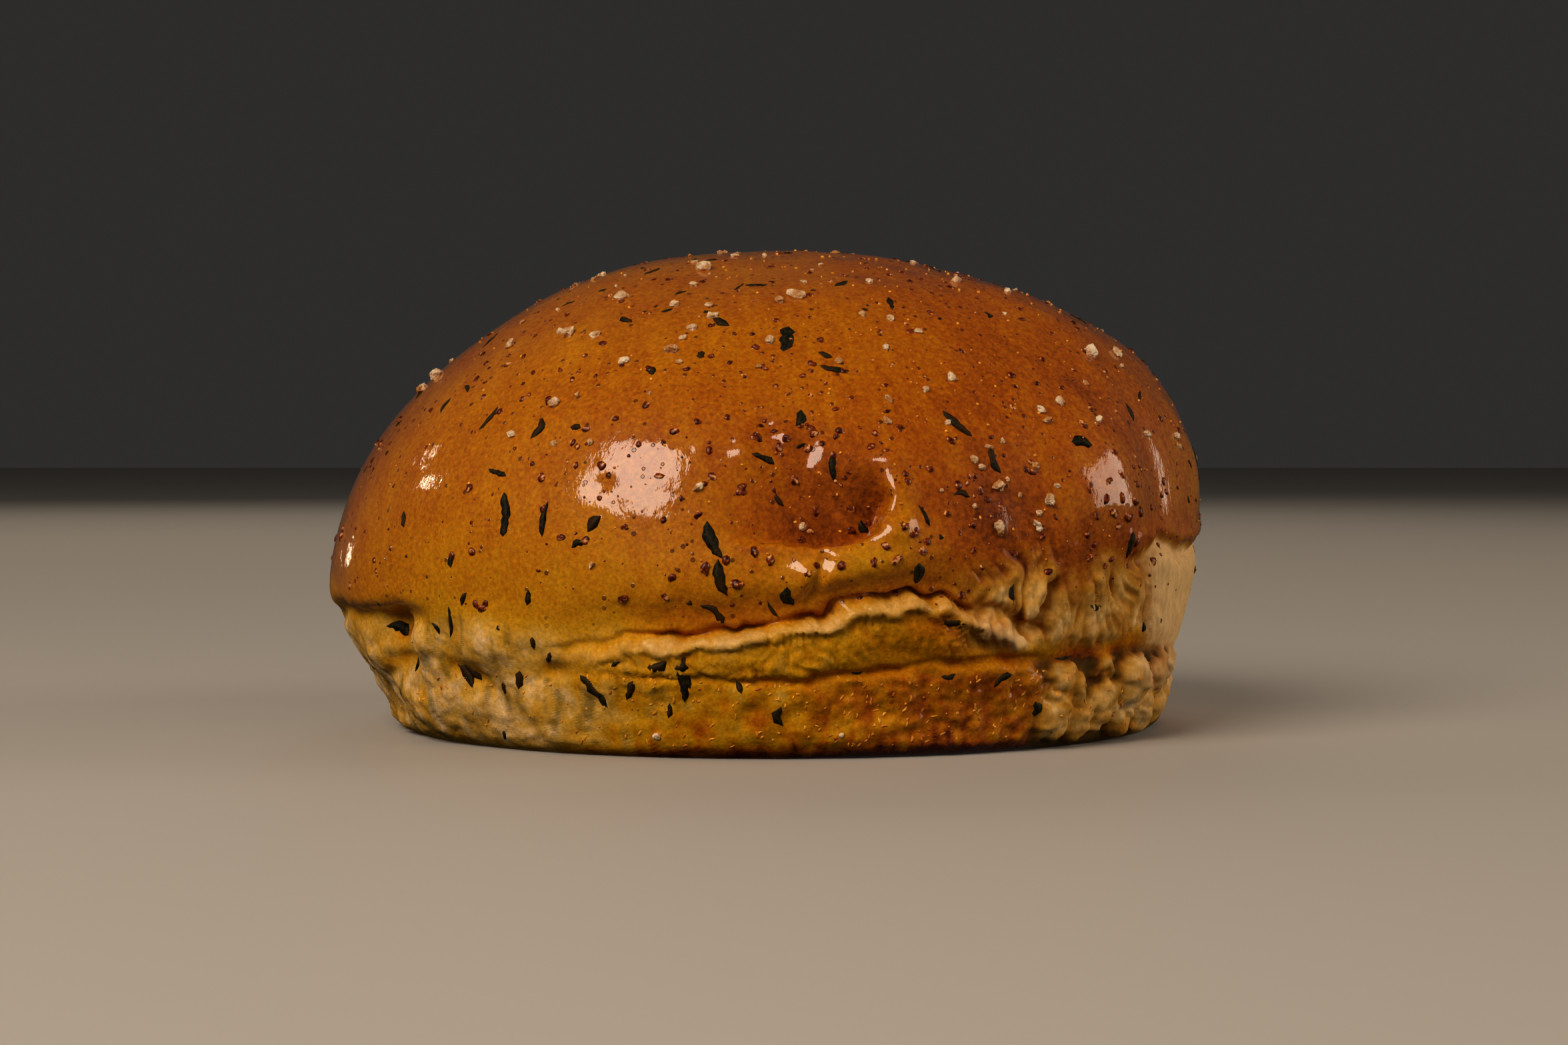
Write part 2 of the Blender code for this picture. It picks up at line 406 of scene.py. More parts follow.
# where a neighbour in the tray was pulled away, the crust stops and pale torn crumb shows
above, along = fromLine(points, folds["rightCrustEdge"])
above = above + 1.3 * wobble + rough(points, wander["crustEdge"])
underCrust = ease(0.5, -0.9, above) * ease(0, 0.05, along) * ease(0, 0.06, 1 - along)
push += fade(along, 0.1) * press(above, ridges["rightCrustEdge"])

offBase = ease(0.2, 2.5, points[:, 2])
points = points + normals * (push * offBase)[:, None]
setPoints(crustMesh, points)
print("folds pressed in")

# nubs of dough left where the neighbour tore off: (degrees from the front, height, radius in mm)
nubs = ((36.5, 3.6, 1.6), (37.5, 6.6, 1.3), (42.2, 8.3, 1.6), (41.4, 4.2, 2.3), (45.6, 6.8, 1.2),
        (46.8, 3.6, 2.0), (50.5, 9.5, 1.1), (51.4, 4.9, 2.2), (57.2, 7.0, 2.8), (56.0, 3.0, 1.9),
        (62.0, 3.6, 2.2), (64.0, 7.4, 2.2), (69.0, 4.4, 2.4), (70.5, 8.6, 1.7), (75.5, 5.4, 2.4),
        (81.0, 4.2, 1.8))

# fine relief in mm: (push out, spacing, seed) of each kind of roughness
relief = dict(
    tornLumps=(0.42, 3.4, 15), tornGrit=(0.20, 1.2, 55), sideWaves=(0.22, 4.0, 16),
    clumpKnots=(0.34, 1.4, 18), clumpGrit=(0.14, 0.8, 49), greasyLumps=(0.45, 2.4, 50),
    greasyGrit=(0.30, 1.1, 51), skirtLumps=(0.30, 2.6, 19), skirtGrit=(0.10, 1.2, 20),
    doughLumps=(0.42, (4.2, 4.2, 5.0), 25), doughGrit=(0.22, 1.9, 52), lipGrit=(0.16, 0.9, 23),
    lipLumps=(0.15, 2.6, 40), lipEdgeGrit=(0.2, (0.8, 1.8, 9), 26), puckerLumps=(0.30, 1.9, 29),
    puckerGrit=(0.15, 1.0, 30), rightWaves=(0.20, 5.5, 43), skinWaves=(0.03, 3.1, 21),
    skinGrain=(0.018, 1.25, 22), nudgeSlow=(1.1, 2.6, 17), nudgeQuick=(0.7, 1.1, 46),
    nudgeUpSlow=(1.1, 2.4, 47), nudgeUpQuick=(0.7, 1.1, 48),
)
# how far strands of torn crumb stand out: (long strands, fine strands)
strandPush = dict(torn=(0.22, 0.34), side=(0.10, 0.05), dough=(0, 0.10), lip=(0, 0.30), lipEdge=(0, 0.14))

# where each kind of surface lies, 0 to 1
points = getPoints(crustMesh)
normals = getNormals(crustMesh)
angle, z = angleOf(points), points[:, 2]
patchy = bumps(points, 7, 11)
torn = ease(20, 31, angle + 4 * patchy) * ease(66, 54, angle + 4 * patchy)
aroundTear = torn * ease(11.5, 13.5, z) * ease(28.5, 23.5, z + 2 * patchy)
torn *= ease(11.5, 13.5, z + 1.5 * patchy)
torn *= ease(25.5, 18.5, z + 3.5 * patchy + 2.5 * bumps(points, 3, 28) - 0.05 * (angle - 45))
sidePale = ease(54, 62, angle + 3 * patchy) * ease(126, 112, angle + 4 * patchy)
sidePale *= ease(5.5, 8.0, z + patchy) * underCrust
skirt = ease(10.5, 8.5, z + patchy)
greasy = skirt * ease(-4, 20, angle) * ease(44, 37, angle)
leftDough = ease(-12, -34, angle + 5 * patchy) * ease(-150, -110, angle) * ease(16, 13, z + 1.2 * patchy)
clump = ease(36, 40, angle + 2 * patchy) * ease(84, 76, angle + 4 * patchy) * ease(11.5, 10.0, z + patchy)

nubbed = np.full(len(points), -0.6)
nudgeAcross = rough(points, relief["nudgeSlow"]) + rough(points, relief["nudgeQuick"])
nudgeUp = rough(points, relief["nudgeUpSlow"]) + rough(points, relief["nudgeUpQuick"])
for nubAngle, height, radius in nubs:
    away = np.hypot((angle - nubAngle) * mmPerDegree + nudgeAcross, z - height + nudgeUp) / (1.3 * radius)
    nubbed = np.maximum(nubbed, 0.62 * radius * (1 - away ** 2))

# strands run up the side and lean a little; the crust is unrolled flat so that they follow it round
unrolled = np.stack([np.radians(angle) * 52, z, np.zeros(len(z))], axis=1)
leaning = unrolled + np.stack([0.35 * z + 2.2 * bumps(points, 5, 12), 0 * z, 0 * z], axis=1)
fibres = 1 - 2.4 * np.abs(bumps(leaning, (1.9, 7.0, 9), 13))
fineFibres = 1 - 2.2 * np.abs(bumps(leaning, (0.95, 4.2, 9), 14))
streaks = 1 - 2.2 * np.abs(bumps(unrolled, (1.8, 7.0, 9), 24))


def relieve(field, *names):
    return sum(rough(field, relief[name]) for name in names)


def strandsOf(name):
    long, fine = strandPush[name]
    return long * fibres + fine * fineFibres


push = torn * (strandsOf("torn") + relieve(points, "tornLumps", "tornGrit") - 0.3)
push += sidePale * (strandsOf("side") + relieve(points, "sideWaves"))
push += clump * (nubbed + relieve(points, "clumpKnots", "clumpGrit"))
push += skirt * (1 - clump) * (greasy * relieve(points, "greasyLumps", "greasyGrit")
                              + relieve(points, "skirtLumps", "skirtGrit") + 0.13 * streaks)
push += leftDough * (strandsOf("dough") + relieve(points, "doughLumps", "doughGrit"))
push += lipSoft * (strandsOf("lip") + relieve(points, "lipGrit", "lipLumps"))
push += lipPale * (strandsOf("lipEdge") + relieve(leaning, "lipEdgeGrit") - 0.05)
push += patch(points, 0, 36.5, 6.0, 3.2) * relieve(points, "puckerLumps", "puckerGrit")
push += relieve(points, "rightWaves") * ease(10, 30, angle) * ease(160, 120, angle) * ease(18, 24, z)
push += relieve(points, "skinWaves", "skinGrain")
offBase = ease(0.05, 1.8, z)
points = points + normals * (push * offBase)[:, None]
setPoints(crustMesh, points)
for face in crustMesh.polygons:
    face.use_smooth = True
crust = newObject("bunCrust", crustMesh)
print("relief done")

# how deeply each place baked, and in places painted light or shade: (degrees, height, half-width,
# half-height, tilt, change), plus is darker
tints = dict(
    # painted shade in the dent
    dentShade=(6, 28.4, 10, 4.6, 12, 0.09),
    puckers=(3, 36, 5.0, 3.0, 0, 0.06),
    # painted light: the roll under the dent and the ridge beside it are lightened where the light catches
    # them
    rollPaintedLight=(11, 22.3, 7.0, 2.4, 8, -0.20),
    ridgePaintedLight=(17.2, 28.0, 1.7, 3.6, -6, -0.12),
    # painted shade on the crust right of the dent
    rightShade=(30, 28, 8.0, 5.5, 0, 0.19),
    midShade=(4, 34, 14, 5.0, 0, 0.05),
    overTear=(44, 22.5, 8.0, 3.0, 0, 0.09),
    endBand=(72, 26.0, 5.0, 2.0, 0, 0.06),
    endRidgeTop=(76, 32, 5.0, 9.0, 0, -0.10),
    shoulderRed=(52, 43, 12, 6.0, 0, 0.03),
    topGold=(-30, 47, 12, 7.0, 0, -0.05),
    leftRim=(-75, 33, 8.0, 12, 0, 0.08),
    lowFrontGold=(-25, 19, 12, 4.5, 0, -0.12),
    lowFrontRight=(0, 19.5, 9, 3.0, 0, -0.04),
    leftGold=(-45, 20, 7.0, 5.0, 0, -0.10),
    leftCheekPale=(-38, 12.5, 7.0, 3.2, 0, -0.22),
    backPatch=(165, 44, 16, 9.0, 0, 0.10),
)

# valleys and the pocket of the left-hand dough, darkened as painted shade and tinted by herb juice:
# (degrees, height, half-width, half-height, tilt, depth of colour)
doughValleyShadeAndStain = ((-55.5, 13.6, 2.8, 1.3, 10, 0.8), (-57, 9.8, 5, 1.2, 12, 0.35), (-42, 9.0, 4, 1.2, -22, 0.35),
                (-28, 9.8, 3, 1.3, 10, 0.3))

# bake runs from 0, raw and pale, to 1, scorched; a surface that bakes to a level of its own has
# (level, share of it that shows)
# painted shade, not baking: the levels for the dent, the gap over the lip, the torn fold, the front waist,
# the lip's foot and the recess
baked = dict(bare=0.43, washed=0.22, higher=0.06, rightSide=0.06, backSide=0.04, frontWaistShade=0.12,
             dent=0.14, lipGapShade=0.34, tornFold=0.45, aroundTear=0.08, lipFoot=0.20, recess=0.22, trayLine=0.40,
             dough=(0.16, 0.85), torn=(0.50, 0.85), side=(0.03, 1.0), clump=(0.78, 0.9), lipFace=(0.44, 0.75),
             lipEdge=(0.02, 0.78))
# uneven browning: (change in bake, spacing in mm, seed)
uneven = dict(
    washed=(0.05, 14, 31), brushed=(0.05, (1.3, 7.0, 9), 45), doughStreaks=(0.20, (2.2, 5.0, 9), 36),
    doughGrit=(0.12, 1.5, 53), skirtLumps=(0.22, 3.0, 42), skirtGrit=(-0.13, 1.5, 38),
    tornLumps=(0.40, 2.6, 33), clumpLumps=(0.42, 3.2, 34), clumpGrit=(0.12, 1.1, 56),
    lipFace=(0.14, 2.6, 41), lipEdge=(0.20, 1.3, 59),
)


def blotch(field, name):
    return rough(field, uneven[name])


def bakeTo(name, change, mask):
    level, share = baked[name]
    return (level + change - bake) * mask * share


blotchy = bumps(points, 4.5, 32)
egg = ease(13.5, 19.5, z + 1.6 * patchy + 1.2 * np.cos(np.radians(angle - 10)))
bake = baked["bare"] + baked["washed"] * egg + baked["higher"] * ease(22, 42, z) + 0.045 * blotchy
bake += egg * (blotch(points, "washed") + blotch(leaning, "brushed"))
bake += baked["rightSide"] * egg * ease(-10, 45, angle) * ease(150, 110, angle)
bake += baked["backSide"] * egg * ease(100, 150, np.abs(angle))
for tintAngle, height, wide, tall, tilt, change in tints.values():
    bake += change * patch(points, tintAngle, height, wide, tall, tilt)
# painted shade: darker in the dent, in the gap over the lip and in the torn fold
bake += baked["dent"] * dentShadeMask + baked["lipGapShade"] * lipGapShade + baked["tornFold"] * foldShade
bake += baked["aroundTear"] * aroundTear
# painted shade just above the lip at the front, where the crust turns down away from the light
bake += baked["frontWaistShade"] * ease(19, 16, z) * ease(-22, -8, angle) * ease(40, 25, angle)
valleyShadeAndStain = sum(depth * patch(points, a, height, wide, tall, tilt)
              for a, height, wide, tall, tilt, depth in doughValleyShadeAndStain)
# the valleys add painted shade to the dough
doughChange = blotch(unrolled, "doughStreaks") + blotch(points, "doughGrit") + 0.16 * blotchy + valleyShadeAndStain
bake += bakeTo("dough", doughChange, leftDough)
bake += skirt * (1 - leftDough) * (0.30 * ease(-5, 32, angle) + blotch(points, "skirtLumps"))
bake += skirt * (blotch(points, "skirtGrit") - 0.13 * streaks)
drips = ease(0.05, 0.5, bumps(unrolled, (1.0, 9.0, 9), 44)) * ease(5.5, 1.0, z)
bake += 0.30 * skirt * drips
tornChange = blotch(points, "tornLumps") - 0.20 * fibres - 0.24 * fineFibres + 0.2 * ease(17, 21, z)
bake += bakeTo("torn", tornChange, torn)
bake += bakeTo("side", 0.05 * blotchy, sidePale)
# painted shade: darker in the pits between the nubs and paler on their tops
clumpChange = blotch(points, "clumpLumps") + blotch(points, "clumpGrit") - 0.62 * ease(-0.5, 0.8, nubbed)
bake += bakeTo("clump", clumpChange, clump)
bake += bakeTo("lipFace", blotch(points, "lipFace") - 0.14 * fineFibres + 0.3 * ease(8, 22, angle), lipSoft)
bake += bakeTo("lipEdge", blotch(points, "lipEdge"), lipPale)
# painted shade in the crease at the lip's foot and in the recess on the right
bake += (baked["lipFoot"] + baked["recess"] * recess) * footShade * (0.7 + 0.8 * blotchy)
trayLine = ease(2.0, 0.3, z + 0.8 * blotchy)
bake += baked["trayLine"] * trayLine * (1 - 0.5 * sidePale) * (1 - 0.55 * leftDough)

# the dried wash is glassy where the egg was brushed on, and the skirt is greasy from the tray
glaze = egg * (1 - torn) * (1 - 0.8 * aroundTear) * (1 - sidePale) * (1 - lipPale) * (1 - 0.75 * dentShadeMask)
glaze = np.maximum(glaze, 0.55 * greasy)

# herb juice stained the pale dough low on the bun; the valleys and the pits of the clump take its dark colour
# partly as painted shade
stain = ease(0.30, 0.56, bumps(unrolled, (1.1, 3.8, 9), 35)) + 0.6 * valleyShadeAndStain
stain *= ease(0.46, 0.25, bake) * ease(26, 20, z) * (1 - 0.8 * torn) * (1 - 0.75 * sidePale)
stain *= 1 - 0.8 * ease(60, 90, np.abs(angle))
# painted shade in the pits between the nubs, plus patches of herb stain
pitShadeAndStain = 0.95 * ease(0.25, -0.5, nubbed) + 0.5 * ease(0.1, 0.5, bumps(points, 3.6, 57))
stain += (pitShadeAndStain - stain) * clump
stain *= 1 - 0.85 * lipSoft

crumb = np.clip(0.55 * torn + sidePale + 0.45 * clump + 0.6 * lipPale + 0.12 * leftDough, 0, 1)
for name, values in dict(bake=bake, glaze=glaze, stain=stain, crumb=crumb).items():
    paint = crustMesh.attributes.new(name, "FLOAT", "POINT")
    paint.data.foreach_set("value", np.clip(values, 0, 1).astype(np.float32))


def perMetre(sizeInMm):
    # texture scale that puts one feature every sizeInMm on a mesh measured in metres
    return 1 / (sizeInMm * mm)


# Egg-washed bread crust: dough brushed with beaten egg, browned in the oven. The wash dries to a thin
# glassy skin, so the dome takes a broad soft shine; crumb that tore open stays pale and dull.
eggWash = dict(
    crumb="#e6bf84", straw="#d3a23e", honey="#cb910e", golden="#be7802", chestnut="#a25202",
    scorched="#5a2003", tan="#b98444", tornBrown="#54290a", blister="#430f04", herbStain="#4c4416",
    glazedRoughness=0.5, bareRoughness=0.8, ior=1.4, specular=0.15,
    coat=1.0, coatRoughness=0.05, dullRoughness=0.09,
    blisterStrength=0.75, stainStrength=0.6, mottleShift=0.08, grainTone=(0.8, 1.22),
    # sizes in mm
    mottleSize=0.6, speckSpacing=1.1, grainSize=0.42, strandSize=0.5, skinSize=0.6, washPatch=4,
    # bumps: strength, height in mm
    skinBump=(0.16, 0.2), grainBump=(0.4, 0.15), speckBump=(0.6, 0.15), coatBump=(0.5, 0.12),
)


def eggWashedCrust():
    c = eggWash
    material, tree = newMaterial("eggWashedCrust")
    place = addNode(tree, "ShaderNodeTexCoord")
    browned = addNode(tree, "ShaderNodeAttribute", attribute_name="bake")
    washed = addNode(tree, "ShaderNodeAttribute", attribute_name="glaze")
    stained = addNode(tree, "ShaderNodeAttribute", attribute_name="stain")
    torn = addNode(tree, "ShaderNodeAttribute", attribute_name="crumb")

    # browning is never even: fine mottling on top of the baked level
    mottle = addNode(tree, "ShaderNodeTexNoise",
                     {"Scale": perMetre(c["mottleSize"]), "Detail": 3.0, "Roughness": 0.6},
                     {"Vector": place.outputs["Object"]})
    shift = addNode(tree, "ShaderNodeMapRange",
                    {"From Min": 0.3, "From Max": 0.7, "To Min": -c["mottleShift"],
                     "To Max": c["mottleShift"]}, {"Value": mottle.outputs["Fac"]})
    level = addNode(tree, "ShaderNodeMath", links={0: browned.outputs["Fac"], 1: shift.outputs["Result"]},
                    operation="ADD", use_clamp=True)
    ramp = addNode(tree, "ShaderNodeValToRGB", links={"Fac": level.outputs[0]})
    setStops(ramp, [(i / 5, c[stop]) for i, stop in
                    enumerate(("crumb", "straw", "honey", "golden", "chestnut", "scorched"))])

    # crumb that was torn open browns from cream to tan, without the yellow of the egg
    crumbRamp = addNode(tree, "ShaderNodeValToRGB", links={"Fac": level.outputs[0]})
    setStops(crumbRamp, [(0.0, c["crumb"]), (0.4, c["tan"]), (0.85, c["tornBrown"])])
    crust = addNode(tree, "ShaderNodeMix", links={0: torn.outputs["Fac"], 6: ramp.outputs["Color"],
                    7: crumbRamp.outputs["Color"]}, data_type="RGBA")

    # pinhead blisters, 0.3 to 0.6 mm, where steam lifted the wash and it scorched
    specks = addNode(tree, "ShaderNodeTexVoronoi", {"Scale": perMetre(c["speckSpacing"]), "Randomness": 1.0},
                     {"Vector": place.outputs["Object"]})
    speckSize = addNode(tree, "ShaderNodeSeparateColor", links={"Color": specks.outputs["Color"]})
    speckEdge = addNode(tree, "ShaderNodeMapRange",
                        {"From Min": 0.5, "From Max": 1.0, "To Min": 0.0, "To Max": 0.30},
                        {"Value": speckSize.outputs["Red"]})
    speckFill = addNode(tree, "ShaderNodeMath",
                        links={0: speckEdge.outputs["Result"], 1: specks.outputs["Distance"]},
                        operation="SUBTRACT")
    speckMask = addNode(tree, "ShaderNodeMapRange", {"From Min": 0.0, "From Max": 0.07},
                        {"Value": speckFill.outputs[0]})
    speckOnGlaze = addNode(tree, "ShaderNodeMath",
                           links={0: speckMask.outputs["Result"], 1: washed.outputs["Fac"]},
                           operation="MULTIPLY")
    speckStrength = addNode(tree, "ShaderNodeMath", {1: c["blisterStrength"]}, {0: speckOnGlaze.outputs[0]},
                            operation="MULTIPLY")
    withSpecks = addNode(tree, "ShaderNodeMix", {7: linearColor(c["blister"])},
                         {0: speckStrength.outputs[0], 6: crust.outputs[2]}, data_type="RGBA")
    stainStrength = addNode(tree, "ShaderNodeMath", {1: c["stainStrength"]}, {0: stained.outputs["Fac"]},
                            operation="MULTIPLY")
    withStain = addNode(tree, "ShaderNodeMix", {7: linearColor(c["herbStain"])},
                        {0: stainStrength.outputs[0], 6: withSpecks.outputs[2]}, data_type="RGBA")

    # each grain of the crust browns a little differently (real grain is near 0.2 mm, drawn coarser)
    grain = addNode(tree, "ShaderNodeTexNoise",
                    {"Scale": perMetre(c["grainSize"]), "Detail": 2.0, "Roughness": 0.6},
                    {"Vector": place.outputs["Object"]})
    # torn crumb shows fine strands standing up the side instead (real ones 0.1 mm, drawn coarser)
    strandField = addNode(tree, "ShaderNodeMapping",
                          {"Rotation": (0.0, math.radians(-14), 0.0), "Scale": (1.0, 1.0, 0.2)},
                          {"Vector": place.outputs["Object"]})
    strands = addNode(tree, "ShaderNodeTexNoise", {"Scale": perMetre(c["strandSize"]), "Detail": 2.0},
                      {"Vector": strandField.outputs["Vector"]})
    skinOrCrumb = addNode(tree, "ShaderNodeMix", links={0: torn.outputs["Fac"], 2: grain.outputs["Fac"],
                          3: strands.outputs["Fac"]}, data_type="FLOAT")
    softStrands = addNode(tree, "ShaderNodeMapRange", {"To Min": 0.29, "To Max": 0.71},
                          {"Value": strands.outputs["Fac"]})
    toneField = addNode(tree, "ShaderNodeMix", links={0: torn.outputs["Fac"], 2: grain.outputs["Fac"],
                        3: softStrands.outputs["Result"]}, data_type="FLOAT")
    darkest, lightest = c["grainTone"]
    grainTone = addNode(tree, "ShaderNodeMapRange",
                        {"From Min": 0.3, "From Max": 0.7, "To Min": darkest, "To Max": lightest},
                        {"Value": toneField.outputs[0]})
    grained = addNode(tree, "ShaderNodeHueSaturation", links={"Value": grainTone.outputs["Result"],
                      "Color": withStain.outputs[2]})

    roughness = addNode(tree, "ShaderNodeMapRange",
                        {"To Min": c["bareRoughness"], "To Max": c["glazedRoughness"]},
                        {"Value": washed.outputs["Fac"]})
    coat = addNode(tree, "ShaderNodeMath", {1: c["coat"]}, {0: washed.outputs["Fac"]}, operation="MULTIPLY")
    washThickness = addNode(tree, "ShaderNodeTexNoise", {"Scale": perMetre(c["washPatch"]), "Detail": 2.0},
                            {"Vector": place.outputs["Object"]})
    coatRoughness = addNode(tree, "ShaderNodeMapRange",
                            {"From Min": 0.4, "From Max": 0.7, "To Min": c["coatRoughness"],
                             "To Max": c["dullRoughness"]}, {"Value": washThickness.outputs["Fac"]})

    # brush-drawn wrinkles in the dried egg, over the grain
    drawn = addNode(tree, "ShaderNodeMapping",
                    {"Rotation": (0.0, math.radians(32), 0.0), "Scale": (1.0, 1.0, 0.4)},
                    {"Vector": place.outputs["Object"]})
    skin = addNode(tree, "ShaderNodeTexNoise",
                   {"Scale": perMetre(c["skinSize"]), "Detail": 2.0, "Roughness": 0.6},
                   {"Vector": drawn.outputs["Vector"]})
    bump = {}
    layers = (("skin", skin.outputs["Fac"], None),
              ("grain", skinOrCrumb.outputs[0], "skin"),
              ("speck", speckOnGlaze.outputs[0], "grain"),
              ("coat", speckOnGlaze.outputs[0], "skin"))      # the glassy wash bridges the grain
    for name, height, below in layers:
        strength, tall = c[name + "Bump"]
        links = {"Height": height}
        if below:
            links["Normal"] = bump[below].outputs["Normal"]
        bump[name] = addNode(tree, "ShaderNodeBump", {"Strength": strength, "Distance": tall * mm}, links)
    shader = addNode(tree, "ShaderNodeBsdfPrincipled", {"IOR": c["ior"], "Specular IOR Level": c["specular"]},
                     {"Base Color": grained.outputs["Color"], "Roughness": roughness.outputs["Result"],
                      "Coat Weight": coat.outputs[0], "Coat Roughness": coatRoughness.outputs["Result"],
                      "Normal": bump["speck"].outputs["Normal"],
                      "Coat Normal": bump["coat"].outputs["Normal"]})
    addNode(tree, "ShaderNodeOutputMaterial", links={"Surface": shader.outputs["BSDF"]})
    return material


crustMesh.materials.append(eggWashedCrust())
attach(crust, "root")
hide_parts("bun")
print("crust painted")


# what was baked in and sprinkled on lies on the finished crust
crustTree = BVHTree.FromPolygons([v.co for v in crustMesh.vertices], [p.vertices for p in crustMesh.polygons])
dice = random.Random(21)


def spotOn(angle, height):
    # point and normal of the crust at that many degrees from the front and mm above the tray
    a = math.radians(angle)
    start = Vector((math.sin(a), -math.cos(a), 0)) * 0.2 + Vector((0, 0, height * mm))
    point, normal, face, distance = crustTree.ray_cast(start, Vector((-math.sin(a), math.cos(a), 0)))
    return point, normal


def randomSpot():
    # even over the crust, by dropping rays from all round a half dome
    up = dice.uniform(-0.12, 1)
    a = dice.uniform(-math.pi, math.pi)
    level = math.sqrt(max(0, 1 - up * up))
    direction = Vector((math.sin(a) * level, -math.cos(a) * level, up))
    point, normal, face, distance = crustTree.ray_cast(direction * 0.2 + Vector((0, 0, 0.018)), -direction)
    return point, normal


def angleOfSpot(point):
    return math.degrees(math.atan2(point.x, -point.y))


def acrossAndUp(normal, tilt):
    across = Vector((0, 0, 1)).cross(normal)
    across = across.normalized() if across.length > 0.05 else Vector((1, 0, 0))
    up = normal.cross(across)
    t = math.radians(tilt)
    return across * math.cos(t) - up * math.sin(t), up * math.cos(t) + across * math.sin(t)


# dried herb, leaf crumbled to slivers: (degrees from the front, height, length, width, tilt clockwise)
herb = dict(
    placed=((-34, 27.3, 5.2, 1.5, -8), (-28, 26.8, 4.0, 0.9, 4), (-6, 24.6, 4.6, 1.7, -22),
            (-5, 20.4, 4.4, 1.6, -14), (-6, 16.6, 3.6, 1.3, -48), (-52, 26.4, 2.0, 1.3, -20),
            (-22, 7.6, 4.8, 1.5, -28), (-10, 8.4, 3.8, 1.2, -12), (2, 5.0, 2.4, 1.9, -10),
            (4, 47.2, 4.6, 2.2, 12), (-8, 49.2, 2.8, 1.8, -50), (11, 43.7, 3.4, 1.3, -76),
            (10, 45.3, 1.8, 0.9, -60), (27, 37.5, 4.4, 1.2, -38), (31, 33.3, 3.2, 1.4, -18),
            (45, 35.4, 2.8, 1.9, -80), (52, 23.5, 3.4, 1.4, 6), (32, 18.3, 2.4, 1.6, 4),
            (19, 20.8, 2.8, 1.6, 6), (24, 15.2, 2.6, 1.6, 80), (-42, 38.1, 3.4, 1.3, 20),
            (-32, 36.9, 2.8, 1.3, 14), (-21, 26.4, 2.4, 1.8, 40), (-23, 24.1, 1.7, 1.1, 70),
            (3, 18.4, 2.4, 1.8, -20), (20, 27.3, 2.6, 0.7, -24), (13, 26.0, 1.7, 1.2, -30),
            (9, 32.6, 3.0, 1.0, -4), (0, 33.6, 2.8, 1.2, -64), (5, 38.0, 2.4, 1.4, 20),
            (2, 29.0, 1.8, 0.6, -30), (-27, 49.6, 2.4, 1.4, -60), (-2, 53.8, 2.6, 1.3, 84),
            (-17, 43.5, 1.6, 1.0, -30), (-10, 45.3, 1.4, 1.2, 10), (-42, 21.9, 1.6, 1.1, 0),
            (-30, 18.0, 1.8, 0.9, 10), (-43, 8.6, 3.4, 1.3, -36), (-33, 8.5, 2.2, 1.6, 10),
            (-17, 7.8, 2.6, 1.1, 24), (-12, 5.6, 1.7, 0.7, 8), (-3, 8.4, 1.8, 0.7, -20),
            (38, 5.0, 1.8, 1.3, 0), (58, 13.6, 1.4, 1.0, 0), (-13, 10.6, 2.6, 1.5, 78),
            (-10, 10.8, 2.0, 1.6, 40), (-9.4, 9.2, 2.2, 1.0, -8), (-18.5, 10.8, 1.2, 0.8, 60),
            (-43, 14.8, 3.8, 0.8, 14), (-40, 17.6, 1.8, 0.8, 30), (-30, 12.8, 1.6, 0.9, 0),
            (-42, 9.0, 2.8, 1.1, -40), (-36, 7.4, 1.5, 1.0, 10), (-58, 13.3, 4.2, 1.7, -72),
            (-53, 9.4, 2.4, 1.0, 40), (-71, 8.2, 2.8, 1.0, -60), (-60, 5.4, 1.5, 0.7, 0),
            (-38, 1.8, 1.3, 0.8, 20), (-28, 11.2, 1.7, 0.7, 30), (-46, 14.0, 1.6, 0.8, -30),
            (32, 8.6, 2.8, 1.0, 60), (24, 9.2, 1.8, 0.8, 80), (12, 9.8, 1.4, 0.7, 85),
            (43, 10.6, 2.6, 0.9, 84)),
    scattered=190, length=(0.5, 3.4), width=(0.35, 1.2), thick=0.24, slim=0.78,
)


def addFlake(bm, point, normal, length, width, tilt, thick):
    across, along = acrossAndUp(normal, tilt)
    stations = max(5, int(length * 2.4))
    bend = dice.uniform(-0.5, 0.5) * width
    blunt = dice.uniform(2, 6)
    ragged = [1.0, 1.0]
    rings = []
    for i in range(stations):
        s = 2 * i / (stations - 1) - 1
        ragged = [0.4 * r + 0.6 * dice.uniform(0.3, 1.45) for r in ragged]
        taper = 0.5 * width * (1 - abs(s) ** blunt) ** 0.7
        middle = point + (along * s * length / 2 + across * bend * (s * s - 0.5)) * mm
        ring = []
        # two thin edges, a raised spine and a keel sunk in the crust
        spine = thick * dice.uniform(0.6, 1.2)
        for side, lift in ((-ragged[0], 0.03), (-0.1, spine), (ragged[1], 0.03), (0, -0.35)):
            aside = middle + across * side * (taper + 0.03) * mm
            near, faceNormal, face, distance = crustTree.find_nearest(aside)
            edge = 1 - 0.6 * abs(s)
            ring.append(bm.verts.new(near + normal * (lift * edge if lift > 0 else lift) * mm))
        rings.append(ring)
    for low, high in zip(rings, rings[1:]):
        for k in range(4):
            bm.faces.new((low[k], low[(k + 1) % 4], high[(k + 1) % 4], high[k]))
    bm.faces.new(rings[0][::-1])
    bm.faces.new(rings[-1])


